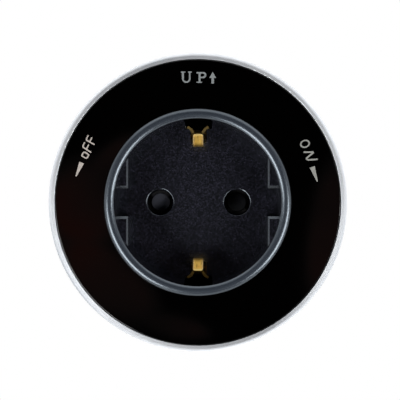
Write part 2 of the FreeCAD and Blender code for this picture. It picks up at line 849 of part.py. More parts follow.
def main():
    os.makedirs("parts", exist_ok=True)
    save("face_ring", make_face_ring())
    save("trim_ring", make_trim_ring())
    save("socket_insert", make_socket_insert())
    save("body_housing", make_body_housing())
    save("rear_cover", make_rear_cover())
    save("base_collar", make_base_collar())
    save("thrust_washer", make_thrust_washer())
    save("track_key", make_track_key())
    save("contact_carrier", make_contact_carrier())
    save("shutter", make_shutter())
    save("shutter_spring", make_shutter_spring())
    save("live_pin_sleeve", make_pin_sleeve(1))
    save("neutral_pin_sleeve", make_pin_sleeve(-1))
    save("live_link", make_pin_link(1))
    save("neutral_link", make_pin_link(-1))
    save("earth_bridge", make_earth_bridge())
    save("earth_link", make_earth_link())
    save("earth_contact_upper", make_earth_contact(-90))
    save("earth_contact_lower", make_earth_contact(90))
    save("live_track_contact", make_live_contact(0))
    save("neutral_track_contact", make_live_contact(180))
    save("earth_track_contact", make_earth_track_contact())
    save("insert_screws", screw_group(insert_screw_diameter, flange_thickness + insert_screw_bite,
                                      flange_back, insert_screw_circle, 4, insert_screw_angle, -1))
    save("carrier_screws", screw_group(carrier_screw_diameter, carrier_thickness + carrier_screw_bite,
                                       carrier_back, carrier_screw_circle, 4, carrier_screw_angle, -1))
    cover_seat = cover_back - cover_screw_diameter * head_height_ratio - slot_gap
    save("cover_screws", screw_group(cover_screw_diameter, cover_seat - cover_front + cover_screw_bite,
                                     cover_seat, cover_screw_circle, 3, cover_screw_angle, -1))
    save("key_screws", screw_group(key_screw_diameter, key_flange_thickness + key_screw_bite,
                                   key_flange_front, key_screw_circle, 2, key_screw_angle, 1))


main()
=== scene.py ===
import math

import bpy
from mathutils import Matrix, Vector


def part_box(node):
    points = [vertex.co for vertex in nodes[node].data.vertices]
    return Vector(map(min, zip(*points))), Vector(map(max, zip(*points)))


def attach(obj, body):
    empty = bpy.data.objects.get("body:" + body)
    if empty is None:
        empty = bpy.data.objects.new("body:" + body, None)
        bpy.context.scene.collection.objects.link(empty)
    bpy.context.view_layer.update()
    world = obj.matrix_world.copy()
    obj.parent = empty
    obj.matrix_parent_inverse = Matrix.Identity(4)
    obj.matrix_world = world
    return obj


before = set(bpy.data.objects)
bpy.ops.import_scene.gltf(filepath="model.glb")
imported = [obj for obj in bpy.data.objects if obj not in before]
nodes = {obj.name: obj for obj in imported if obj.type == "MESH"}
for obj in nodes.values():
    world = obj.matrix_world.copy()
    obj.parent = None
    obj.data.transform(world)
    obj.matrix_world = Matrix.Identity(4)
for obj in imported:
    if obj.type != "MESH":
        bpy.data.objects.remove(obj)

# Round socket module that twists onto a power track, seen from the front.
# Metres. X is right, Y runs back into the track, Z is up.

mm = 0.001
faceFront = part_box("face_ring")[0].y
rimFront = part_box("socket_insert")[0].y
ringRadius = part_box("trim_ring")[1].x
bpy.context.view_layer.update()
print("frame loaded:", len(nodes), "nodes")


# Helpers for working on one piece at a time

def deselectAll():
    if bpy.context.mode != "OBJECT":
        bpy.ops.object.mode_set(mode="OBJECT")
    bpy.ops.object.select_all(action="DESELECT")


def makeActive(piece):
    deselectAll()
    piece.select_set(True)
    bpy.context.view_layer.objects.active = piece


def nameIt(name):
    piece = bpy.context.object
    piece.name = name
    piece.data.name = name
    return piece


def applyPlace(piece):    # the object goes to the origin and its place goes into its mesh
    makeActive(piece)
    bpy.ops.object.transform_apply(location=True, rotation=True, scale=True)


def pickVertices(piece, wanted):    # selects the vertices whose place passes the test
    bpy.ops.object.mode_set(mode="EDIT")
    bpy.ops.mesh.select_mode(type="VERT")
    bpy.ops.mesh.select_all(action="DESELECT")
    bpy.ops.object.mode_set(mode="OBJECT")
    for vertex in piece.data.vertices:
        vertex.select = wanted(vertex.co)
    bpy.ops.object.mode_set(mode="EDIT")


def applyModifiers(piece):
    makeActive(piece)
    for modifier in list(piece.modifiers):
        bpy.ops.object.modifier_apply(modifier=modifier.name)


# Helpers for finishes. The scale of a pattern is the number of its cells in a metre.

noiseSpan = (0.3, 0.7)    # nearly all values of a noise pattern lie in here


def newFinish(name, colour, roughness, metallic=0.0):
    finish = bpy.data.materials.new(name)
    finish.use_nodes = True
    shader = finish.node_tree.nodes["Principled BSDF"]
    shader.inputs["Base Color"].default_value = (*colour, 1.0)
    shader.inputs["Roughness"].default_value = roughness
    shader.inputs["Metallic"].default_value = metallic
    return finish


def addNode(tree, kind, **choices):
    node = tree.nodes.new(kind)
    for choice, value in choices.items():
        setattr(node, choice, value)
    return node


def place(tree, scale=(1, 1, 1)):    # the point on the piece, in metres, stretched by scale
    coordinates = addNode(tree, "ShaderNodeTexCoord")
    mapping = addNode(tree, "ShaderNodeMapping")
    mapping.inputs["Scale"].default_value = scale
    tree.links.new(coordinates.outputs["Object"], mapping.inputs["Vector"])
    return mapping.outputs["Vector"]


def noise(tree, scale, detail=3.0, stretch=(1, 1, 1), rough=0.5):
    texture = addNode(tree, "ShaderNodeTexNoise")
    texture.inputs["Scale"].default_value = scale
    texture.inputs["Detail"].default_value = detail
    texture.inputs["Roughness"].default_value = rough
    tree.links.new(place(tree, stretch), texture.inputs["Vector"])
    return texture.outputs["Fac"]


def cells(tree, scale):    # scattered cells: the distance to their middles and a chance colour
    texture = addNode(tree, "ShaderNodeTexVoronoi")
    texture.inputs["Scale"].default_value = scale
    tree.links.new(place(tree), texture.inputs["Vector"])
    return texture.outputs["Distance"], texture.outputs["Color"]


def grains(tree, size):    # a chance value for each small cell
    _, colours = cells(tree, 1 / size)
    split = addNode(tree, "ShaderNodeSeparateColor")
    tree.links.new(colours, split.inputs["Color"])
    return split.outputs["Red"]


def remap(tree, source, fromLow, fromHigh, toLow, toHigh):
    node = addNode(tree, "ShaderNodeMapRange")
    tree.links.new(source, node.inputs["Value"])
    for socket, value in zip(("From Min", "From Max", "To Min", "To Max"),
                             (fromLow, fromHigh, toLow, toHigh)):
        node.inputs[socket].default_value = value
    return node.outputs["Result"]


def byNoise(tree, pattern, low, high):    # low where the pattern is low, high where it is high
    return remap(tree, pattern, *noiseSpan, low, high)


def shade(colour, tone):
    return tuple(tone * part for part in colour)


def maths(tree, operation, first, second=0.0):
    node = addNode(tree, "ShaderNodeMath", operation=operation)
    for socket, value in zip(node.inputs, (first, second)):
        if isinstance(value, (int, float)):
            socket.default_value = value
        else:
            tree.links.new(value, socket)
    return node.outputs["Value"]


def separate(tree, vector):
    split = addNode(tree, "ShaderNodeSeparateXYZ")
    tree.links.new(vector, split.inputs["Vector"])
    return split


def distanceTo(tree, vector, spot):
    away = addNode(tree, "ShaderNodeVectorMath", operation="DISTANCE")
    tree.links.new(vector, away.inputs[0])
    away.inputs[1].default_value = spot
    return away.outputs["Value"]


def sideways(tree, vector):    # the vector's direction seen along the module's axis
    flattened = addNode(tree, "ShaderNodeVectorMath", operation="MULTIPLY")
    flattened.inputs[1].default_value = (1, 0, 1)
    tree.links.new(vector, flattened.inputs[0])
    unit = addNode(tree, "ShaderNodeVectorMath", operation="NORMALIZE")
    tree.links.new(flattened.outputs["Vector"], unit.inputs[0])
    return unit.outputs["Vector"]


def axisDistance(tree):    # distance from the module's axis, and the place along it
    split = separate(tree, place(tree))
    across = maths(tree, "POWER", split.outputs["X"], 2.0)
    up = maths(tree, "POWER", split.outputs["Z"], 2.0)
    return maths(tree, "SQRT", maths(tree, "ADD", across, up)), split.outputs["Y"]


def outwards(tree):    # direction away from the module's axis, for metal brushed round it
    direction = addNode(tree, "ShaderNodeVectorTransform", vector_type="VECTOR",
                        convert_from="OBJECT", convert_to="WORLD")
    tree.links.new(sideways(tree, place(tree)), direction.inputs["Vector"])
    return direction.outputs["Vector"]


def blendColours(tree, share, first, second):
    node = addNode(tree, "ShaderNodeMix", data_type="RGBA")
    tree.links.new(share, node.inputs["Factor"])
    for socket, colour in ((node.inputs["A"], first), (node.inputs["B"], second)):
        if isinstance(colour, tuple):
            socket.default_value = (*colour, 1.0)
        else:
            tree.links.new(colour, socket)
    return node.outputs["Result"]


def bump(tree, source, depth, strength=1.0):
    node = addNode(tree, "ShaderNodeBump")
    node.inputs["Distance"].default_value = depth
    node.inputs["Strength"].default_value = strength
    tree.links.new(source, node.inputs["Height"])
    return node.outputs["Normal"]


def toShader(finish, **sources):
    shader = finish.node_tree.nodes["Principled BSDF"]
    for socket, source in sources.items():
        finish.node_tree.links.new(source, shader.inputs[socket.replace("_", " ")])


def giveFinish(finish, *pieces):
    for piece in pieces:
        if not piece.material_slots:
            piece.data.materials.append(finish)
        for slot in piece.material_slots:
            slot.material = finish


# Finishes

moulded = {
    "grain": {"detail": 4.0, "rough": 0.6},
    "patches": {"scale": 90.0, "detail": 2.0},
    "tones": (0.8, 1.15),
    "roughnessSpread": 0.05,
}


def makeMouldedBlack(name, colour, roughness, grainSize, depth):
    finish = newFinish(name, colour, roughness)
    tree = finish.node_tree
    grain = noise(tree, 1 / grainSize, **moulded["grain"])
    patches = noise(tree, **moulded["patches"])
    darker, lighter = (shade(colour, tone) for tone in moulded["tones"])
    spread = moulded["roughnessSpread"]
    toShader(finish,
             Base_Color=blendColours(tree, patches, darker, lighter),
             Roughness=byNoise(tree, patches, roughness - spread, roughness + spread),
             Normal=bump(tree, grain, depth))
    return finish


gloss = {
    "colour": (0.00015, 0.00012, 0.00012),
    "roughness": (0.03, 0.05),
    "smears": {"scale": 60.0, "detail": 5.0, "stretch": (1, 1, 0.4)},
    "lint": (0.45, 0.45, 0.44),
    "lintBand": (22.4 * mm, 21.85 * mm),    # the lint lies against the rim
    "lintCells": 900.0,
    "speck": (0.10, 0.06),    # from the edge of a speck to its full part, in cells
    "lintPlaces": {"scale": 420.0, "detail": 1.0},
    "lintAbove": 0.62,
}


def makeGlossBlack():
    finish = newFinish("glossBlack", gloss["colour"], gloss["roughness"][0])
    tree = finish.node_tree
    radius, _ = axisDistance(tree)
    toMiddle, _ = cells(tree, gloss["lintCells"])
    specks = remap(tree, toMiddle, *gloss["speck"], 0.0, 1.0)
    thinned = maths(tree, "GREATER_THAN", noise(tree, **gloss["lintPlaces"]), gloss["lintAbove"])
    near = remap(tree, radius, *gloss["lintBand"], 0.0, 1.0)
    lint = maths(tree, "MULTIPLY", maths(tree, "MULTIPLY", specks, thinned), near)
    toShader(finish,
             Base_Color=blendColours(tree, lint, gloss["colour"], gloss["lint"]),
             Roughness=byNoise(tree, noise(tree, **gloss["smears"]), *gloss["roughness"]))
    return finish


satin = {
    "colour": (0.88, 0.91, 0.95),
    "darker": (0.79, 0.82, 0.86),
    "clouds": {"scale": 400.0, "detail": 3.0},
    "brushing": {"Scale": 9000.0, "Detail": 2.0},
    "brushingDepth": 0.0008 * mm,
    "stretch": 0.5,    # how far the highlights draw out across the brushing
    "roughness": (0.27, 0.34),
    "metallic": (0.8, 0.45),
    "edge": (ringRadius - 0.70 * mm, ringRadius - 0.40 * mm),    # the lip is paler from here on
    "bevel": (ringRadius - 0.30 * mm, ringRadius - 0.18 * mm),
    "bevelRoughness": 0.62,
    # the colour of the painted shade on the ring
    "paintedShade": (0.34, 0.36, 0.39),
    "paintedShadeRadius": ringRadius - 0.80 * mm,
    # Painted shade on the ring, in degrees up from the right, where it mirrors dark parts of the room
    # and towards its outer edge at the lamp sides. At the given inset from the ring's outer edge,
    # the share of the shade has grown or shrunk by the factor atEdge.
    "stainsAndShade": [
        {"angle": 110, "reach": 22 * mm, "share": 0.28, "atEdge": 0.0, "inset": 0.40 * mm},
        {"angle": 300, "reach": 18 * mm, "share": 0.50, "atEdge": 0.0, "inset": 0.40 * mm},
        {"angle": 210, "reach": 42 * mm, "share": 0.12, "atEdge": 10.0, "inset": 0.10 * mm},
        {"angle": 340, "reach": 38 * mm, "share": 0.06, "atEdge": 12.5, "inset": 0.25 * mm},
    ],
}


# Painted shade: darkens the ring round one place, more or less towards its outer edge
def addPaintedShade(tree, colour, radius, paintedShade):
    turn = math.radians(paintedShade["angle"])
    middle = satin["paintedShadeRadius"]
    centre = (middle * math.cos(turn), faceFront, middle * math.sin(turn))
    away = distanceTo(tree, place(tree), centre)
    shadedShare = remap(tree, away, 0.0, paintedShade["reach"], paintedShade["share"], 0.0)
    edge = ringRadius - paintedShade["inset"]
    factor = remap(tree, radius, satin["edge"][0], edge, 1.0, paintedShade["atEdge"])
    return blendColours(tree, maths(tree, "MULTIPLY", shadedShare, factor), colour, satin["paintedShade"])


def brushedLines(tree, across):    # a pattern that changes only with the distance across it
    lines = addNode(tree, "ShaderNodeTexNoise", noise_dimensions="1D")
    for socket, value in satin["brushing"].items():
        lines.inputs[socket].default_value = value
    tree.links.new(across, lines.inputs["W"])
    return lines.outputs["Fac"]


def makeSatinTrim():
    finish = newFinish("satinTrim", satin["colour"], satin["roughness"][0], satin["metallic"][0])
    finish.node_tree.nodes["Principled BSDF"].inputs["Anisotropic"].default_value = satin["stretch"]
    tree = finish.node_tree
    radius, along = axisDistance(tree)
    brushing = brushedLines(tree, maths(tree, "ADD", radius, along))
    clouds = byNoise(tree, noise(tree, **satin["clouds"]), 0.0, 1.0)
    colour = blendColours(tree, clouds, satin["darker"], satin["colour"])
    for paintedShade in satin["stainsAndShade"]:
        colour = addPaintedShade(tree, colour, radius, paintedShade)
    bevel = remap(tree, radius, *satin["bevel"], 0.0, satin["bevelRoughness"])
    toShader(finish,
             Base_Color=colour,
             Roughness=maths(tree, "MAXIMUM", byNoise(tree, brushing, *satin["roughness"]), bevel),
             Metallic=remap(tree, radius, *satin["edge"], *satin["metallic"]),
             Tangent=outwards(tree),
             Normal=bump(tree, brushing, satin["brushingDepth"]))
    return finish


charcoal = {
    # The well is coloured far darker than the rim: partly its own eroded finish, partly painted shade in
    # the recess.
    "rimColour": (0.016, 0.020, 0.027),
    "wellColour": (0.0003, 0.0003, 0.0010),
    # pale specks in the well: partly the grain's own tone, partly painted glints off its facets
    "speckGlintColour": (0.022, 0.021, 0.034),
    "speckSize": 0.20 * mm,
    "speckPower": 3.0,    # a higher power leaves fewer pale specks
    "rimUntil": rimFront + 0.8 * mm,    # the smooth rim ends here and the eroded well begins
    "wellFrom": rimFront + 1.8 * mm,
    "roughness": (0.25, 0.215),    # on the rim and in the well
    "grain": {"scale": 3200.0, "detail": 3.0, "rough": 0.6},
    "grainShare": (0.15, 1.0),    # on the rim and in the well
    "pits": 0.020 * mm,
    "sheen": 0.95,    # strength of the mirrored light
    "tint": (0.80, 0.91, 1.0),
}


def makeSocketCharcoal():
    finish = newFinish("socketCharcoal", charcoal["wellColour"], charcoal["roughness"][0])
    shader = finish.node_tree.nodes["Principled BSDF"]
    shader.inputs["Specular Tint"].default_value = (*charcoal["tint"], 1.0)
    shader.inputs["Specular IOR Level"].default_value = charcoal["sheen"]
    tree = finish.node_tree
    _, along = axisDistance(tree)
    # Deeper into the well the surface turns eroded and the colour turns dark as painted shade
    erodedAndShaded = remap(tree, along, charcoal["rimUntil"], charcoal["wellFrom"], 0.0, 1.0)
    specks = maths(tree, "POWER", grains(tree, charcoal["speckSize"]), charcoal["speckPower"])
    well = blendColours(tree, specks, charcoal["wellColour"], charcoal["speckGlintColour"])
    share = remap(tree, erodedAndShaded, 0.0, 1.0, *charcoal["grainShare"])
    texture = maths(tree, "MULTIPLY", noise(tree, **charcoal["grain"]), share)
    toShader(finish,
             Base_Color=blendColours(tree, erodedAndShaded, charcoal["rimColour"], well),
             Roughness=remap(tree, erodedAndShaded, 0.0, 1.0, *charcoal["roughness"]),
             Normal=bump(tree, texture, charcoal["pits"]))
    return finish


shutterBlack = {
    "colour": (0.0010, 0.0010, 0.0013),
    # Painted light: a lighter disc behind each hole, where light falls in through it, much lighter behind
    # the left hole than the right
    "paintedLight": ((-9.5 * mm, (0.030, 0.032, 0.042)), (9.5 * mm, (0.0025, 0.0025, 0.0035))),
    "litDisc": (1.9 * mm, 2.6 * mm),
    "sheen": 0.22,
    "patches": {"scale": 300.0},
    "roughness": (0.40, 0.52),
    "grain": {"scale": 2000.0, "detail": 4.0, "rough": 0.6},
    "grainDepth": 0.004 * mm,
}


def makeShutterDark():
    finish = newFinish("shutterDark", shutterBlack["colour"], shutterBlack["roughness"][0])
    shader = finish.node_tree.nodes["Principled BSDF"]
    shader.inputs["Specular IOR Level"].default_value = shutterBlack["sheen"]
    tree = finish.node_tree
    colour = shutterBlack["colour"]
    # painted light: a lighter disc round each hole's axis, fading out towards the hole's edge
    for across, paintedLight in shutterBlack["paintedLight"]:
        away = distanceTo(tree, place(tree, (1, 0, 1)), (across, 0, 0))
        disc = remap(tree, away, *shutterBlack["litDisc"], 1.0, 0.0)
        colour = blendColours(tree, disc, colour, paintedLight)
    patches = noise(tree, **shutterBlack["patches"])
    grain = noise(tree, **shutterBlack["grain"])
    toShader(finish,
             Base_Color=colour,
             Roughness=byNoise(tree, patches, *shutterBlack["roughness"]),
             Normal=bump(tree, grain, shutterBlack["grainDepth"]))
    return finish


stamped = {
    "stainsAndShade": {"scale": 500.0, "detail": 4.0},
    "stainSpan": (0.42, 0.72),
    "scratches": {"scale": 2500.0, "detail": 2.0, "stretch": (1.0, 0.12, 0.35)},
    "scratchDepth": 0.006 * mm,
    "scratchStrength": 0.5,
}

# The earth contact's tongue gets dark streaks, painted highlights along its edges and near its end, and
# painted shade at its crown;
# its wings and the corners beyond a rounded end get painted shade, deeper on the lower contact.
# Places are distances from the module's axis, or from the contact's middle for edge and corner.
tongueStreaksAndLight = {
    "lines": {"scale": 4200.0, "detail": 2.0, "stretch": (1.0, 0.1, 0.2)},
    "lineSpan": (0.54, 0.64),
    "lineShare": 0.45,
    "edge": (0.80 * mm, 1.05 * mm),
    "edgeHighlightColour": (1.0, 0.76, 0.38),
    "edgeHighlightShare": 0.7,
    "tip": (15.80 * mm, 16.00 * mm),
    "tipHighlightColour": (1.0, 0.78, 0.32),
    "tipHighlightShare": 0.8,
    "crown": (13.6 * mm, 14.4 * mm),
    "streakAndShadeColour": (0.20, 0.12, 0.03),
    "crownShadeShare": 0.7,
    "wings": (16.25 * mm, 16.40 * mm),
    "cornerFrom": 0.70 * mm,
    "corner": 1500.0,    # how fast the bright part draws in beyond cornerFrom
    "wingShadeShare": (0.99, 0.94),    # at the lower and at the upper contact
    "wingShadeTone": 0.05,
}


def paintTongueStreaksAndLight(tree, colour, dull):
    split = separate(tree, place(tree))
    across = maths(tree, "ABSOLUTE", split.outputs["X"])
    up = maths(tree, "ABSOLUTE", split.outputs["Z"])
    lines = remap(tree, noise(tree, **tongueStreaksAndLight["lines"]), *tongueStreaksAndLight["lineSpan"],
                  0.0, tongueStreaksAndLight["lineShare"])
    colour = blendColours(tree, lines, colour, tongueStreaksAndLight["streakAndShadeColour"])
    # painted highlight along the tongue's long edges
    edge = remap(tree, across, *tongueStreaksAndLight["edge"], 0.0, tongueStreaksAndLight["edgeHighlightShare"])
    colour = blendColours(tree, edge, colour, tongueStreaksAndLight["edgeHighlightColour"])
    # painted highlight: a glint across the tongue just before its end
    tip = remap(tree, up, *tongueStreaksAndLight["tip"], 0.0, tongueStreaksAndLight["tipHighlightShare"])
    colour = blendColours(tree, tip, colour, tongueStreaksAndLight["tipHighlightColour"])
    # painted shade where the tongue bends at its crown
    crown = remap(tree, up, *tongueStreaksAndLight["crown"], tongueStreaksAndLight["crownShadeShare"], 0.0)
    colour = blendColours(tree, crown, colour, tongueStreaksAndLight["streakAndShadeColour"])
    # Painted shade: the wings and the corners beyond a rounded end go dark, deeper on the lower contact
    past = maths(tree, "MAXIMUM", maths(tree, "SUBTRACT", across, tongueStreaksAndLight["cornerFrom"]), 0.0)
    corner = maths(tree, "MULTIPLY", maths(tree, "MULTIPLY", past, past), tongueStreaksAndLight["corner"])
    wings = remap(tree, maths(tree, "ADD", up, corner), *tongueStreaksAndLight["wings"], 0.0, 1.0)
    start = tongueStreaksAndLight["wings"][0]
    share = remap(tree, split.outputs["Z"], -start, start, *tongueStreaksAndLight["wingShadeShare"])
    return blendColours(tree, maths(tree, "MULTIPLY", wings, share), colour,
                        shade(dull, tongueStreaksAndLight["wingShadeTone"]))


def makeStampedBrass(name, bright, dull, roughness, paintedLight=False):
    finish = newFinish(name, bright, roughness[0], 1.0)
    tree = finish.node_tree
    stainsAndShade = remap(tree, noise(tree, **stamped["stainsAndShade"]), *stamped["stainSpan"], 0.0, 1.0)
    scratches = noise(tree, **stamped["scratches"])
    colour = blendColours(tree, stainsAndShade, bright, dull)
    # the tongue gets streaks, painted highlights and painted shade
    if paintedLight:
        colour = paintTongueStreaksAndLight(tree, colour, dull)
    toShader(finish,
             Base_Color=colour,
             Roughness=byNoise(tree, scratches, *roughness),
             Normal=bump(tree, scratches, stamped["scratchDepth"], stamped["scratchStrength"]))
    return finish


turned = {
    "wear": {"scale": 900.0, "detail": 4.0},
    "wornTone": 0.75,
    "roughnessSpread": 0.08,
    "depth": 0.004 * mm,
    "strength": 0.4,
}


def makeTurnedSteel(name, colour, roughness):
    finish = newFinish(name, colour, roughness, 1.0)
    tree = finish.node_tree
    wear = noise(tree, **turned["wear"])
    spread = turned["roughnessSpread"]
    toShader(finish,
             Base_Color=blendColours(tree, wear, shade(colour, turned["wornTone"]), colour),
             Roughness=byNoise(tree, wear, roughness - spread, roughness + spread),
             Normal=bump(tree, wear, turned["depth"], turned["strength"]))
    return finish


natural = {
    "clouds": {"scale": 160.0, "detail": 3.0},
    "yellowing": (1.0, 0.97, 0.9),
    "grain": {"scale": 2400.0, "detail": 2.0},
    "roughnessSpread": 0.06,
    "depth": 0.01 * mm,
    "strength": 0.4,
}


def makeNatural(name, colour, roughness):
    finish = newFinish(name, colour, roughness)
    tree = finish.node_tree
    grain = noise(tree, **natural["grain"])
    yellower = tuple(part * share for part, share in zip(colour, natural["yellowing"]))
    spread = natural["roughnessSpread"]
    toShader(finish,
             Base_Color=blendColours(tree, noise(tree, **natural["clouds"]), colour, yellower),
             Roughness=byNoise(tree, grain, roughness - spread, roughness + spread),
             Normal=bump(tree, grain, natural["depth"], natural["strength"]))
    return finish


printed = {
    "cover": {"scale": 3500.0, "detail": 3.0},
    "coverSpan": (0.35, 0.65),
    "thinTone": 0.82,
    "roughness": (0.42, 0.6),
    "depth": 0.006 * mm,
    "strength": 0.4,
}


def makePrint(name, colour):
    finish = newFinish(name, colour, 0.5)
    tree = finish.node_tree
    cover = noise(tree, **printed["cover"])
    thick = remap(tree, cover, *printed["coverSpan"], 0.0, 1.0)
    toShader(finish,
             Base_Color=blendColours(tree, thick, shade(colour, printed["thinTone"]), colour),
             Roughness=byNoise(tree, cover, *printed["roughness"]),
             Normal=bump(tree, cover, printed["depth"], printed["strength"]))
    return finish


glossBlack = makeGlossBlack()
satinTrim = makeSatinTrim()
socketCharcoal = makeSocketCharcoal()
bodyBlack = makeMouldedBlack("bodyBlack", (0.016, 0.016, 0.018), roughness=0.5,
                             grainSize=0.35 * mm, depth=0.03 * mm)
collarBlack = makeMouldedBlack("collarBlack", (0.020, 0.020, 0.022), roughness=0.55,
                               grainSize=0.30 * mm, depth=0.03 * mm)
keyBlack = makeMouldedBlack("keyBlack", (0.018, 0.018, 0.019), roughness=0.42,
                            grainSize=0.25 * mm, depth=0.015 * mm)
carrierNatural = makeNatural("carrierNatural", (0.60, 0.58, 0.52), roughness=0.5)
washerNylon = makeNatural("washerNylon", (0.78, 0.77, 0.71), roughness=0.45)
shutterDark = makeShutterDark()
earthBrass = makeStampedBrass("earthBrass", bright=(0.98, 0.66, 0.16), dull=(0.82, 0.47, 0.09),
                              roughness=(0.50, 0.62), paintedLight=True)
contactBrass = makeStampedBrass("contactBrass", bright=(0.80, 0.62, 0.28),
                                dull=(0.55, 0.40, 0.17), roughness=(0.22, 0.36))
# The links are coloured much darker than brass, as painted shade, for they lie deep behind the slots.
shadedLinkBrass = makeStampedBrass("shadedLinkBrass", bright=(0.34, 0.25, 0.12), dull=(0.22, 0.16, 0.07),
                             roughness=(0.35, 0.5))
springSteel = makeTurnedSteel("springSteel", (0.52, 0.52, 0.53), roughness=0.32)
zincSteel = makeTurnedSteel("zincSteel", (0.60, 0.61, 0.63), roughness=0.35)
silverPrint = makePrint("silverPrint", (0.147, 0.160, 0.163))
greyPrint = makePrint("greyPrint", (0.190, 0.190, 0.175))
whitePrint = makePrint("whitePrint", (0.310, 0.275, 0.250))

finishOf = {
    "face_ring": glossBlack,
    "trim_ring": satinTrim,
    "socket_insert": socketCharcoal,
    "body_housing": bodyBlack,
    "rear_cover": bodyBlack,
    "base_collar": collarBlack,
    "thrust_washer": washerNylon,
    "track_key": keyBlack,
    "contact_carrier": carrierNatural,
    "shutter": shutterDark,
    "shutter_spring": springSteel,
    "live_pin_sleeve": contactBrass,
    "neutral_pin_sleeve": contactBrass,
    "live_track_contact": contactBrass,
    "neutral_track_contact": contactBrass,
    "earth_track_contact": contactBrass,
    "live_link": shadedLinkBrass,
    "neutral_link": shadedLinkBrass,
    "earth_bridge": shadedLinkBrass,
    "earth_link": shadedLinkBrass,
    "earth_contact_upper": earthBrass,
    "earth_contact_lower": earthBrass,
    "insert_screws": zincSteel,
    "carrier_screws": zincSteel,
    "cover_screws": zincSteel,
    "key_screws": zincSteel,
}
for nodeName, finish in finishOf.items():
    giveFinish(finish, nodes[nodeName])
print("finishes given to", len(finishOf), "nodes")


# Printed marks on the face ring, in millimetres across and up from the axis

ink = {
    "thickness": 0.03 * mm,
    "sunk": 0.01 * mm,
    "step": 0.0007 * mm,    # each stroke of a mark stands this much before the one under it
    "near": 0.001 * mm,    # points that are closer than this count as one
    "arcSteps": 20,
    "endSteps": 6,
    "endRound": 0.49,    # share of the width, so that the rounded corners just don't meet
}
inkBack = faceFront + ink["sunk"]


def thicken(piece):
    makeActive(piece)
    bpy.ops.object.mode_set(mode="EDIT")
    bpy.ops.mesh.select_all(action="SELECT")
    bpy.ops.mesh.extrude_region_move(
        TRANSFORM_OT_translate={"value": (0, -ink["thickness"] - ink["sunk"], 0)})
    bpy.ops.mesh.select_all(action="SELECT")
    bpy.ops.mesh.normals_make_consistent(inside=False)
    bpy.ops.object.mode_set(mode="OBJECT")
    return piece


def inkBar(start, end, width, endWidth=None, roundEnds=False):    # straight stroke or wedge
    start, end = Vector(start) * mm, Vector(end) * mm
    run = end - start
    turn = math.atan2(run.x, run.y)
    middle = (start + end) / 2
    deselectAll()
    bpy.ops.mesh.primitive_plane_add(size=1, location=(middle.x, inkBack, middle.y),
                                     rotation=(math.pi / 2, turn, 0))
    bar = nameIt("inkBar")
    extra = width * mm if roundEnds else 0.0
    bar.scale = (width * mm, run.length + extra, 1)
    applyPlace(bar)
    if endWidth is not None:
        tip = Vector((end.x, inkBack, end.y))
        pickVertices(bar, lambda spot: (spot - tip).length < width * mm / 2 + ink["near"])
        bpy.ops.transform.resize(value=(endWidth / width,) * 3, center_override=tip)
        bpy.ops.object.mode_set(mode="OBJECT")
    if roundEnds:
        pickVertices(bar, lambda spot: True)
        bpy.ops.mesh.bevel(affect="VERTICES", offset=ink["endRound"] * width * mm,
                           segments=ink["endSteps"])
        bpy.ops.object.mode_set(mode="OBJECT")
    return thicken(bar)


# Angles run up from the right, in degrees
def inkArc(centre, radius, width, firstAngle, sweep, flatten=1.0, tilt=0):
    centre = Vector(centre) * mm
    start = (centre.x + radius * mm, inkBack, centre.y + width * mm / 2)
    deselectAll()
    bpy.ops.mesh.primitive_plane_add(size=width * mm, location=start, rotation=(math.pi / 2, 0, 0))
    arc = nameIt("inkArc")
    applyPlace(arc)
    pickVertices(arc, lambda spot: spot.z > centre.y + width * mm / 2)
    bpy.ops.mesh.delete(type="VERT")
    pivot = Vector((centre.x, inkBack, centre.y))
    bpy.ops.mesh.select_all(action="SELECT")
    bpy.ops.transform.rotate(value=math.radians(firstAngle), orient_axis="Y", center_override=pivot)
    bpy.ops.mesh.spin(steps=ink["arcSteps"], angle=math.radians(sweep), center=pivot, axis=(0, 1, 0))
    bpy.ops.mesh.select_all(action="SELECT")
    bpy.ops.mesh.remove_doubles(threshold=ink["near"])
    bpy.ops.transform.resize(value=(flatten, 1, 1), center_override=pivot)
    bpy.ops.transform.rotate(value=math.radians(tilt), orient_axis="Y", center_override=pivot)
    bpy.ops.object.mode_set(mode="OBJECT")
    return thicken(arc)


def strokes(points, width):    # a pen line through the points, with round ends and corners
    return [inkBar(start, end, width, roundEnds=True) for start, end in zip(points, points[1:])]


def printMark(name, parts, finish):    # the strokes become one clean skin
    for layer, part in enumerate(parts):
        part.location.y = -layer * ink["step"]
        applyPlace(part)
    mark = parts[0]
    for part in parts[1:]:
        union = mark.modifiers.new("union", "BOOLEAN")
        union.operation = "UNION"
        union.object = part
        applyModifiers(mark)
        bpy.data.objects.remove(part)
    makeActive(mark)
    nameIt(name)
    giveFinish(finish, mark)
    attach(mark, "dial")


upWord = {
    "top": 30.70,
    "bottom": 28.02,
    "thick": 0.48,
    "thin": 0.36,
    "serif": 0.26,
}


def inkSerif(across, reach, height):    # reach says how far it goes to the left and to the right
    return inkBar((across + reach[0], height), (across + reach[1], height), upWord["serif"])


letterU = {
    "left": -3.46,
    "right": -1.85,
    "leftSerif": (-0.47, 0.57),
    "rightSerif": (-0.38, 0.46),
    "serifDrop": 0.14,
}


def makeLetterU():
    top, thick, thin = upWord["top"], upWord["thick"], upWord["thin"]
    left, right = letterU["left"], letterU["right"]
    bowl = (right - left) / 2
    low = upWord["bottom"] + thin / 2 + bowl
    parts = [
        inkBar((left, low), (left, top), thick),
        inkBar((right, low), (right, top), thin),
        inkArc(((left + right) / 2, low), bowl, thin, firstAngle=180, sweep=180),
        inkSerif(left, letterU["leftSerif"], top - letterU["serifDrop"]),
        inkSerif(right, letterU["rightSerif"], top - letterU["serifDrop"]),
    ]
    printMark("mark_u", parts, silverPrint)


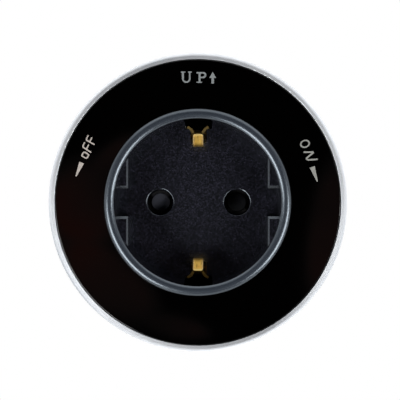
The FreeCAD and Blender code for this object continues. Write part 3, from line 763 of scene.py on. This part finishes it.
letterP = {
    "stem": 0.45,
    "bowl": (1.28, 29.85),
    "radius": 0.54,
    "bowlExtra": 0.05,    # the bowl is this much thicker than the thin strokes
    "topReach": -0.70,
    "footSerif": (-0.72, 0.60),
    "footRise": 0.15,
}


def makeLetterP():
    bottom, thick, thin = upWord["bottom"], upWord["thick"], upWord["thin"]
    stem, radius = letterP["stem"], letterP["radius"]
    across, up = letterP["bowl"]
    parts = [
        inkBar((stem, bottom), (stem, up + radius), thick),
        inkBar((stem + letterP["topReach"], up + radius), (across, up + radius), thin),
        inkArc((across, up), radius, thin + letterP["bowlExtra"], firstAngle=-90, sweep=180),
        inkBar((across, up - radius), (stem, up - radius), thin),
        inkSerif(stem, letterP["footSerif"], bottom + letterP["footRise"]),
    ]
    printMark("mark_p", parts, silverPrint)


upArrow = {
    "across": 3.54,
    "tip": 30.56,
    "shoulder": 29.17,
    "foot": 28.10,
    "headWidth": 1.59,
    "tipWidth": 0.06,
    "shaftWidth": 0.60,
}


def makeUpArrow():
    across, shoulder = upArrow["across"], upArrow["shoulder"]
    parts = [
        inkBar((across, shoulder), (across, upArrow["tip"]), upArrow["headWidth"],
               endWidth=upArrow["tipWidth"]),
        inkBar((across, upArrow["foot"]), (across, shoulder), upArrow["shaftWidth"], roundEnds=True),
    ]
    printMark("mark_up_arrow", parts, silverPrint)


turnWords = {
    "offStroke": 0.32,
    "onStroke": 0.38,
    "upperStem": ((-24.32, 13.60), (-26.03, 14.55)),
    "upperTop": ((-26.03, 14.55), (-26.13, 14.90), (-25.72, 15.66)),
    "upperMiddle": ((-25.32, 14.28), (-24.89, 15.12)),
    "lowerStem": ((-25.11, 11.78), (-26.82, 12.88)),
    "lowerTop": ((-26.82, 12.88), (-26.95, 13.22), (-26.59, 13.98)),
    "lowerMiddle": ((-26.06, 12.57), (-25.65, 13.44)),
    "offRound": ((-27.19, 11.07), (-26.98, 11.50), (-26.76, 11.75), (-26.48, 11.75),
                 (-25.88, 11.42), (-25.60, 11.10), (-25.83, 10.57), (-26.17, 10.33),
                 (-26.66, 10.58), (-27.13, 10.90), (-27.19, 11.07)),
    "onRound": {"centre": (25.17, 13.71), "radius": 0.79, "width": 0.30, "flatten": 1.28, "tilt": 18},
    "onZigzag": ((24.99, 11.74), (27.00, 11.78), (27.05, 11.58), (25.58, 10.40), (25.54, 10.16),
                 (25.96, 9.92), (27.96, 10.08)),
}


def printLetter(name, lines, width, finish):
    parts = [bar for line in lines for bar in strokes(turnWords[line], width)]
    printMark(name, parts, finish)


def makeTurnWords():
    offStroke, onStroke = turnWords["offStroke"], turnWords["onStroke"]
    printLetter("mark_off_f", ("upperStem", "upperTop", "upperMiddle"), offStroke, whitePrint)
    printLetter("mark_off_f_middle", ("lowerStem", "lowerTop", "lowerMiddle"), offStroke, whitePrint)
    printLetter("mark_off_o", ("offRound",), offStroke, whitePrint)
    printLetter("mark_on_n", ("onZigzag",), onStroke, greyPrint)
    printMark("mark_on_o", [inkArc(firstAngle=0, sweep=360, **turnWords["onRound"])], greyPrint)


turnWedges = {
    "tipWidth": 0.26,
    "off": {"base": (-27.24, 9.32), "tip": (-28.56, 6.12), "width": 1.20},
    "on": {"base": (26.86, 8.30), "tip": (28.05, 4.85), "width": 1.24},
}


def makeTurnWedge(name, way, finish):
    wedge = turnWedges[way]
    bar = inkBar(wedge["base"], wedge["tip"], wedge["width"], endWidth=turnWedges["tipWidth"])
    printMark(name, [bar], finish)


makeLetterU()
makeLetterP()
makeUpArrow()
makeTurnWords()
makeTurnWedge("mark_off_arrow", "off", whitePrint)
makeTurnWedge("mark_on_arrow", "on", greyPrint)
print("marks printed")


# Studio

def aimAt(item, target):
    item.rotation_euler = (Vector(target) - item.location).to_track_quat("-Z", "Y").to_euler()


# Each lamp stands tilt degrees off the line of sight and round degrees up from the right.
# Its first size runs away from the line of sight and its second round it.
lamps = [
    {"name": "leftBox", "tilt": 38, "round": 214, "distance": 0.55, "power": 2.7, "size": (0.20, 0.38)},
    {"name": "rightBox", "tilt": 39, "round": 335.5, "distance": 0.55, "power": 2.2, "size": (0.20, 0.32)},
    {"name": "topBox", "tilt": 56, "round": 88, "distance": 0.50, "power": 0.72, "size": (0.28, 0.80)},
    {"name": "rearBox", "tilt": 145, "round": 60, "distance": 0.70, "power": 1.0, "size": (0.40, 0.40)},
]
lampCentre = Vector((0, -45 * mm, 0))


def addLamp(lamp):
    light = bpy.data.lights.new(lamp["name"], "AREA")
    light.shape = "RECTANGLE"
    light.size, light.size_y = lamp["size"]
    light.energy = lamp["power"]
    holder = bpy.data.objects.new(lamp["name"], light)
    bpy.context.scene.collection.objects.link(holder)
    tilt, turn = math.radians(lamp["tilt"]), math.radians(lamp["round"])
    out = math.sin(tilt)
    way = Vector((out * math.cos(turn), -math.cos(tilt), out * math.sin(turn)))
    along = Vector((-math.sin(turn), 0, math.cos(turn)))
    facing = Matrix((along.cross(way), along, way)).transposed().to_4x4()
    holder.matrix_world = Matrix.Translation(lampCentre + lamp["distance"] * way) @ facing
    holder.visible_camera = False


for lamp in lamps:
    addLamp(lamp)
print("lamps placed:", len(lamps))


# A white tent round the module, dark towards the camera, and plain white for the camera itself.
# Depth is how far a direction points back: -1 towards the camera and 1 behind the module.
tent = {
    "darkUntil": -0.85,
    "whiteFrom": -0.45,
    "front": 0.0025,    # level of the dark part
    "mirrored": 0.95,    # level in what the module mirrors
    "fill": 0.6,    # level of the light that falls on it
    "gap": 273,    # the white starts farther out on this side, in degrees up from the right
    "gapWidth": (0.62, 0.86),
    "gapDepth": 0.60,
}


def tentWall(tree, direction, depth):
    turn = math.radians(tent["gap"])
    nearness = addNode(tree, "ShaderNodeVectorMath", operation="DOT_PRODUCT")
    nearness.inputs[1].default_value = (math.cos(turn), 0, math.sin(turn))
    tree.links.new(sideways(tree, direction), nearness.inputs[0])
    gap = remap(tree, nearness.outputs["Value"], *tent["gapWidth"], 0.0, tent["gapDepth"])
    return remap(tree, maths(tree, "SUBTRACT", depth, gap),
                 tent["darkUntil"], tent["whiteFrom"], tent["front"], 1.0)


# Dim warm shapes in the room that the gloss mirrors, by direction across and up, with half sizes
warmShapes = [
    {"across": -0.102, "up": -0.002, "size": (0.030, 0.034), "turn": 0},
    {"across": -0.078, "up": 0.036, "size": (0.026, 0.010), "turn": 35},
    {"across": -0.084, "up": -0.060, "size": (0.046, 0.020), "turn": -42},
    {"across": -0.034, "up": -0.096, "size": (0.026, 0.008), "turn": -12},
    {"across": 0.084, "up": -0.022, "size": (0.013, 0.054), "turn": -8},
]
warmLight = {
    "colour": (1.0, 0.31, 0.24),
    "level": 0.165,
    "fade": (1.25, 0.75),    # a shape's light grows between these shares of its half size
    "folds": 9.0,    # how many folds cross the shapes
    "foldSpan": (0.3, 0.6),
    "foldShade": 0.3,
}


def warmShape(tree, direction, shape):
    shifted = addNode(tree, "ShaderNodeMapping", vector_type="TEXTURE")
    shifted.inputs["Location"].default_value = (shape["across"], 0, shape["up"])
    shifted.inputs["Rotation"].default_value = (0, -math.radians(shape["turn"]), 0)
    # The large middle value leaves the depth out
    shifted.inputs["Scale"].default_value = (shape["size"][0], 1000.0, shape["size"][1])
    tree.links.new(direction, shifted.inputs["Vector"])
    reach = addNode(tree, "ShaderNodeVectorMath", operation="LENGTH")
    tree.links.new(shifted.outputs["Vector"], reach.inputs[0])
    return remap(tree, reach.outputs["Value"], *warmLight["fade"], 0.0, 1.0)


def warmGlow(tree, direction, depth):    # only before the module, not behind it
    glow = 0.0
    for shape in warmShapes:
        glow = maths(tree, "MAXIMUM", warmShape(tree, direction, shape), glow)
    folds = addNode(tree, "ShaderNodeTexNoise")
    folds.inputs["Scale"].default_value = warmLight["folds"]
    tree.links.new(direction, folds.inputs["Vector"])
    shading = remap(tree, folds.outputs["Fac"], *warmLight["foldSpan"], warmLight["foldShade"], 1.0)
    glow = maths(tree, "MULTIPLY", glow, shading)
    return maths(tree, "MULTIPLY", glow, maths(tree, "LESS_THAN", depth, 0.0))


def makeStudio():
    world = bpy.data.worlds.new("studio")
    bpy.context.scene.world = world
    world.use_nodes = True
    tree = world.node_tree
    rays = addNode(tree, "ShaderNodeLightPath").outputs
    direction = addNode(tree, "ShaderNodeTexCoord").outputs["Generated"]
    depth = separate(tree, direction).outputs["Y"]
    mirrored = maths(tree, "MAXIMUM", rays["Is Glossy Ray"], rays["Is Transmission Ray"])
    level = remap(tree, mirrored, 0.0, 1.0, tent["fill"], tent["mirrored"])
    wall = maths(tree, "MULTIPLY", tentWall(tree, direction, depth), level)
    warm = maths(tree, "MULTIPLY", warmGlow(tree, direction, depth), mirrored)
    lit = maths(tree, "ADD", wall, maths(tree, "MULTIPLY", warm, warmLight["level"]))
    colour = blendColours(tree, warm, (1.0, 1.0, 1.0), warmLight["colour"])
    background = tree.nodes["Background"]
    tree.links.new(maths(tree, "MAXIMUM", rays["Is Camera Ray"], lit), background.inputs["Strength"])
    tree.links.new(colour, background.inputs["Color"])


makeStudio()

ground = {
    "size": 1.2,
    "place": (0, 0.30, -0.30),
    "colour": (0.86, 0.86, 0.86),
    "roughness": 0.6,
}
deselectAll()
bpy.ops.mesh.primitive_plane_add(size=ground["size"], location=ground["place"])
floor = nameIt("floor")
giveFinish(makeNatural("paleFloor", ground["colour"], ground["roughness"]), floor)

shot = {
    "place": (4.7 * mm, -347.4 * mm, 0.0),
    "aim": (0.56 * mm, -45.6 * mm, 0.54 * mm),
    "lens": 115.8,
    "sensor": 36.0,
    "nearest": 0.01,
}
camera = bpy.data.objects.new("camera", bpy.data.cameras.new("camera"))
bpy.context.scene.collection.objects.link(camera)
camera.data.lens = shot["lens"]
camera.data.sensor_width = shot["sensor"]
camera.data.clip_start = shot["nearest"]
camera.location = shot["place"]
aimAt(camera, shot["aim"])
bpy.context.scene.camera = camera
bpy.context.scene.view_settings.view_transform = "Standard"
print("studio ready")
